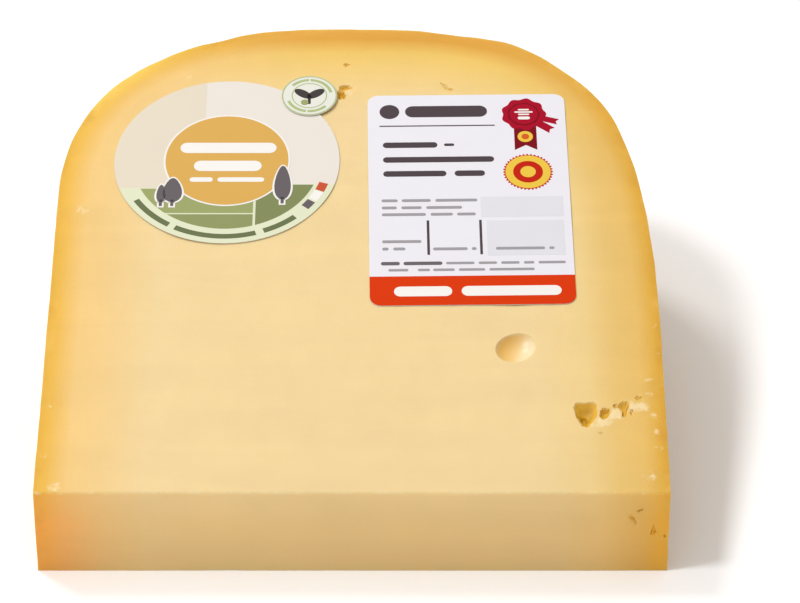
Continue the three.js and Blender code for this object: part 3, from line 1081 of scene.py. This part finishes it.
def add_price_label(grain):
    """A white price sticker: a heading and lines as plain bars, empty fields, a rosette and a seal."""
    slot = "white_paper"
    width, length = PRICE_LABEL["width"], PRICE_LABEL["length"]
    left, low = -width / 2, -length / 2
    corner = 2.2
    band_top = low + 7.4

    # Bars and lines are placed from the sticker's lower left corner.
    def bar(u0, v0, u1, v1, corner=None):
        return flat_bar(left + u0, low + v0, left + u1, low + v1, corner)

    def line(u0, u1, v, height):
        return bar(u0, v - height / 2, u1, v + height / 2)

    ink = printer(PRICE_LABEL, "price_label", grain)
    paper = bar(0, 0, width, length, corner)
    add_paper(paper, PRICE_LABEL, "price_label", slot, WHITE_PAPER, grain)
    ink("red_band", [clip(bar(0, 0, width, length, corner), 0, band_top, -90)], 1, RED_BAND)
    ink("band_words", [line(4.6, 15.6, 3.5, 2.5), line(17.4, 36.3, 3.5, 2.5)], 2, WHITE_INK)
    heading = [flat_disc(left + 4.3, low + 51.4, 1.95), line(7.4, 23.6, 51.4, 3.1)]
    titles = [
        line(2.9, 13.6, 42.2, 1.5), line(14.9, 16.9, 42.2, 0.7),
        line(2.9, 24.6, 38.2, 1.5),
        line(2.9, 15.2, 34.4, 1.5), line(16.8, 22.7, 34.4, 1.5),
    ]
    rules = [bar(2.3, 47.3, 25.0, 47.6, 0), bar(11.1, 12.9, 11.6, 21.9, 0), bar(21.2, 12.9, 21.7, 21.9, 0)]
    ink("dark_marks", heading + titles + rules, 1, DARK_INK)
    fields = [bar(21.6, 22.7, 37.6, 28.0, 0), bar(22.6, 12.6, 37.5, 21.7, 0)]
    ink("empty_fields", fields, 1, PALE_GREY)
    # Rows of small words: the row's place, its words' height, and where each word starts and ends.
    rows = [
        (27.2, 0.7, [(2.5, 5.6), (6.4, 12.0), (12.9, 21.0)]),
        (25.3, 0.7, [(2.5, 5.4), (6.3, 10.2), (11.1, 18.0)]),
        (23.5, 0.7, [(2.5, 11.0), (11.9, 16.2), (17.0, 20.6)]),
        (16.4, 0.7, [(2.5, 10.0)]),
        (14.5, 0.7, [(2.5, 3.7), (4.6, 6.9)]),
        (14.4, 0.7, [(12.2, 18.8), (19.6, 20.5), (24.2, 33.6), (34.4, 35.4)]),
        (10.7, 0.6, [(14.6, 20.0), (20.8, 24.3), (25.1, 28.6), (29.4, 31.4), (32.2, 37.4)]),
        (9.0, 0.6, [(3.6, 7.4), (9.2, 11.5), (12.1, 16.2), (17.0, 22.0), (22.8, 31.4)]),
    ]
    small = [line(start, end, v, height) for v, height, words in rows for start, end in words]
    ink("grey_words", small, 2, GREY_INK)
    ink("bold_words", [line(2.2, 5.8, 10.7, 0.85), line(6.5, 13.9, 10.7, 0.85)], 2, DARK_GREY_INK)
    add_rosette(left + 30.8, low + 50.4, ink)
    add_seal(left + 31.1, low + 34.6, ink)


def scalloped(x, y, radius, lobes, depth):
    """A disc whose edge swings in and out."""

    def rule(px, py):
        turn = math.atan2(py, px)
        grown = 1 + depth * math.cos(lobes * turn) / radius
        return x + px * grown, y + py * grown

    return reshape(flat_disc(0, 0, radius, steps=lobes * 10), rule)


def ribbon_tail(length, width):
    """A ribbon's loose end that hangs down from the middle, with a notch cut in it."""
    bpy.ops.mesh.primitive_plane_add(size=1)
    obj = bpy.context.object
    obj.data.transform(
        Matrix.Translation(in_mm(0, -length / 2)) @ Matrix.Diagonal((width * MM, length * MM, 1, 1))
    )
    edit()
    bpy.ops.mesh.subdivide(number_cuts=1)
    object_mode()

    def rule(px, py):
        notch = width * 0.3 if abs(px) < width * 0.01 and py < -length * 0.99 else 0
        return px, py + notch

    return reshape(obj, rule)


def add_rosette(x, y, ink):
    """A plain award rosette with one hanging ribbon and two short ones to the right."""
    down = turned(ribbon_tail(8.6, 4.4), x + 0.15, y - 1.2, 0)
    ink("rosette_ribbon", [down], 1, DARK_CRIMSON)
    tails = [
        turned(ribbon_tail(6.4, 1.5), x + 0.6, y - 0.2, 72),
        turned(ribbon_tail(6.4, 1.8), x + 0.4, y - 0.6, 52),
    ]
    ink("rosette_tails", tails, 1, CRIMSON)
    ink("rosette", [scalloped(x, y, 4.25, 9, 0.22)], 2, CRIMSON)
    ink("rosette_ring", [scalloped(x, y, 3.1, 9, 0.08)], 3, DARK_CRIMSON)
    ink("rosette_middle", [flat_disc(x, y, 2.8)], 4, CRIMSON)
    words = [
        flat_bar(x - 1.1, y + 1.0, x + 1.1, y + 1.4), flat_bar(x - 1.8, y + 0.35, x + 1.8, y + 0.75),
        flat_bar(x - 1.1, y - 0.3, x + 1.1, y + 0.1), flat_bar(x - 1.2, y - 1.5, x + 1.2, y - 0.7),
    ]
    ink("rosette_words", words, 5, WHITE_INK)
    ink("rosette_seal", [flat_disc(x + 0.1, y - 6.2, 1.5)], 3, SEAL_YELLOW)
    ink("rosette_seal_middle", [flat_disc(x + 0.1, y - 6.2, 0.75)], 4, SEAL_ORANGE)


def add_seal(x, y, ink):
    """A plain round seal: a toothed red edge, a yellow ring and a red middle with a yellow dot."""
    ink("seal_edge", [scalloped(x, y, 4.7, 40, 0.2)], 1, SEAL_RED)
    ink("seal_ring", [flat_disc(x, y, 4.4, steps=96)], 2, SEAL_YELLOW)
    ink("seal_middle", [flat_disc(x, y, 2.9)], 3, SEAL_RED)
    ink("seal_dot", [flat_disc(x, y, 1.5)], 4, SEAL_YELLOW)


def tree_outlines(x, y, width, height, grow=0.0):
    """A leaf-shaped tree on a short trunk, as two outlines, grown all round by a margin."""
    half = height / 2

    def rule(px, py):
        lean = 1 - 0.28 * (py / half)
        return x + px * lean, y + py

    crown = flat_disc(0, 0, width / 2 + grow, 40, (half + grow) / (width / 2 + grow))
    trunk = flat_bar(x - 0.3 - grow, y - half - 1.1 - grow, x + 0.3 + grow, y - half + 0.6, 0)
    return [reshape(crown, rule), trunk]


def add_round_label(grain):
    """A cream sticker: a plain sun over fields and trees, with bars where words would be."""
    slot = "cream_paper"
    radius = ROUND_LABEL["radius"]
    horizon, right_horizon, field_edge = -7.4, -6.3, 18.2

    def disc():
        return flat_disc(0, 0, radius, steps=128)

    ink = printer(ROUND_LABEL, "round_label", grain)
    add_paper(disc(), ROUND_LABEL, "round_label", slot, CREAM_PAPER, grain)
    ink("cream_shade", [clip(clip(disc(), -4.6, 0, 180), 0, horizon, 90)], 1, CREAM_SHADE)
    rim_left = clip(clip(disc(), 0, horizon, -90), 5.5, 0, 180)
    rim_right = clip(clip(disc(), 0, right_horizon, -90), 5.5, 0, 0)
    ink("rim", [rim_left, rim_right], 1, RIM_GREEN)

    def field(top, bottom, x_cut, facing):
        part = clip(clip(flat_disc(0, 0, field_edge, steps=128), 0, top, -90), 0, bottom, 90)
        return clip(part, x_cut, 0, facing)

    ink("light_field", [field(horizon - 0.2, -14.0, 5.4, 180)], 2, LIGHT_FIELD)
    ink("middle_field", [field(-14.4, -30, 5.4, 180)], 2, MIDDLE_FIELD)
    ink("dark_field", [field(right_horizon - 0.2, -30, 5.9, 0)], 2, DARK_FIELD)
    ink("sun_edge", [flat_disc(0, 0.1, 12.35, steps=96)], 3, WHITE_INK)
    ink("sun", [flat_disc(0, 0.1, 12.0, steps=96)], 4, SUN)
    sun_words = [
        flat_bar(-9.2, 2.0, 9.6, 4.8), flat_bar(-6.4, -2.9, 6.8, -0.1),
        flat_bar(-7.1, -5.8, -2.6, -4.6), flat_bar(-1.7, -5.8, 7.4, -4.6),
    ]
    ink("sun_words", sun_words, 5, WHITE_INK)
    trees = [(-10.3, -8.0, 3.6, 6.4), (-12.5, -8.9, 1.7, 4.6), (11.0, -6.0, 3.1, 9.0)]
    ink("tree_edges", [part for at in trees for part in tree_outlines(*at, grow=0.35)], 5, WHITE_INK)
    ink("trees", [part for at in trees for part in tree_outlines(*at)], 6, SLATE)
    words = [(211.6, 238.0), (242.0, 287.5), (292.0, 312.0)]
    ink("rim_words", [flat_arc(19.6, 20.8, *word) for word in words], 2, OLIVE_INK)
    ink("red_patch", [flat_arc(19.0, 20.8, -23.8, -17.6)], 2, PATCH_RED)
    ink("white_patch", [flat_arc(19.0, 20.8, -32.0, -24.4)], 2, WHITE_INK)
    ink("slate_patch", [flat_arc(19.0, 20.7, -39.0, -33.0)], 2, SLATE)


def add_small_label(grain):
    """A small white sticker with green rings and a plain sprig of two leaves."""
    slot = "small_paper"
    ink = printer(SMALL_LABEL, "small_label", grain)
    paper = flat_disc(0, 0, SMALL_LABEL["radius"])
    add_paper(paper, SMALL_LABEL, "small_label", slot, SMALL_PAPER, grain)
    ink("outer_ring", [flat_arc(5.2, 5.45, 0, 360)], 1, RING_GREEN)
    ink("inner_ring", [flat_arc(3.3, 3.5, 0, 360)], 1, RING_GREEN)
    words = [(12, 88), (92, 140), (200, 262), (266, 318)]
    ink("words", [flat_arc(4.05, 4.65, *word) for word in words], 1, RING_GREEN)
    leaves = [
        turned(flat_disc(0, 0, 0.95, 32, 2.1), -1.25, 0.5, 55),
        turned(flat_disc(0, 0, 0.95, 32, 2.1), 1.25, 0.5, -55),
        flat_bar(-0.3, -2.4, 0.3, 0.4),
    ]
    ink("sprig", leaves, 1, SPRIG_INK)
    ink("sprig_base", [flat_disc(-0.9, -1.9, 0.75, 24)], 2, LIGHT_FIELD)


# ------------------------------------------------------------------------------ main

deselect()
add_camera()
add_studio()
grain = grain_group()
add_cheese(grain)
add_round_label(grain)
add_price_label(grain)
add_small_label(grain)
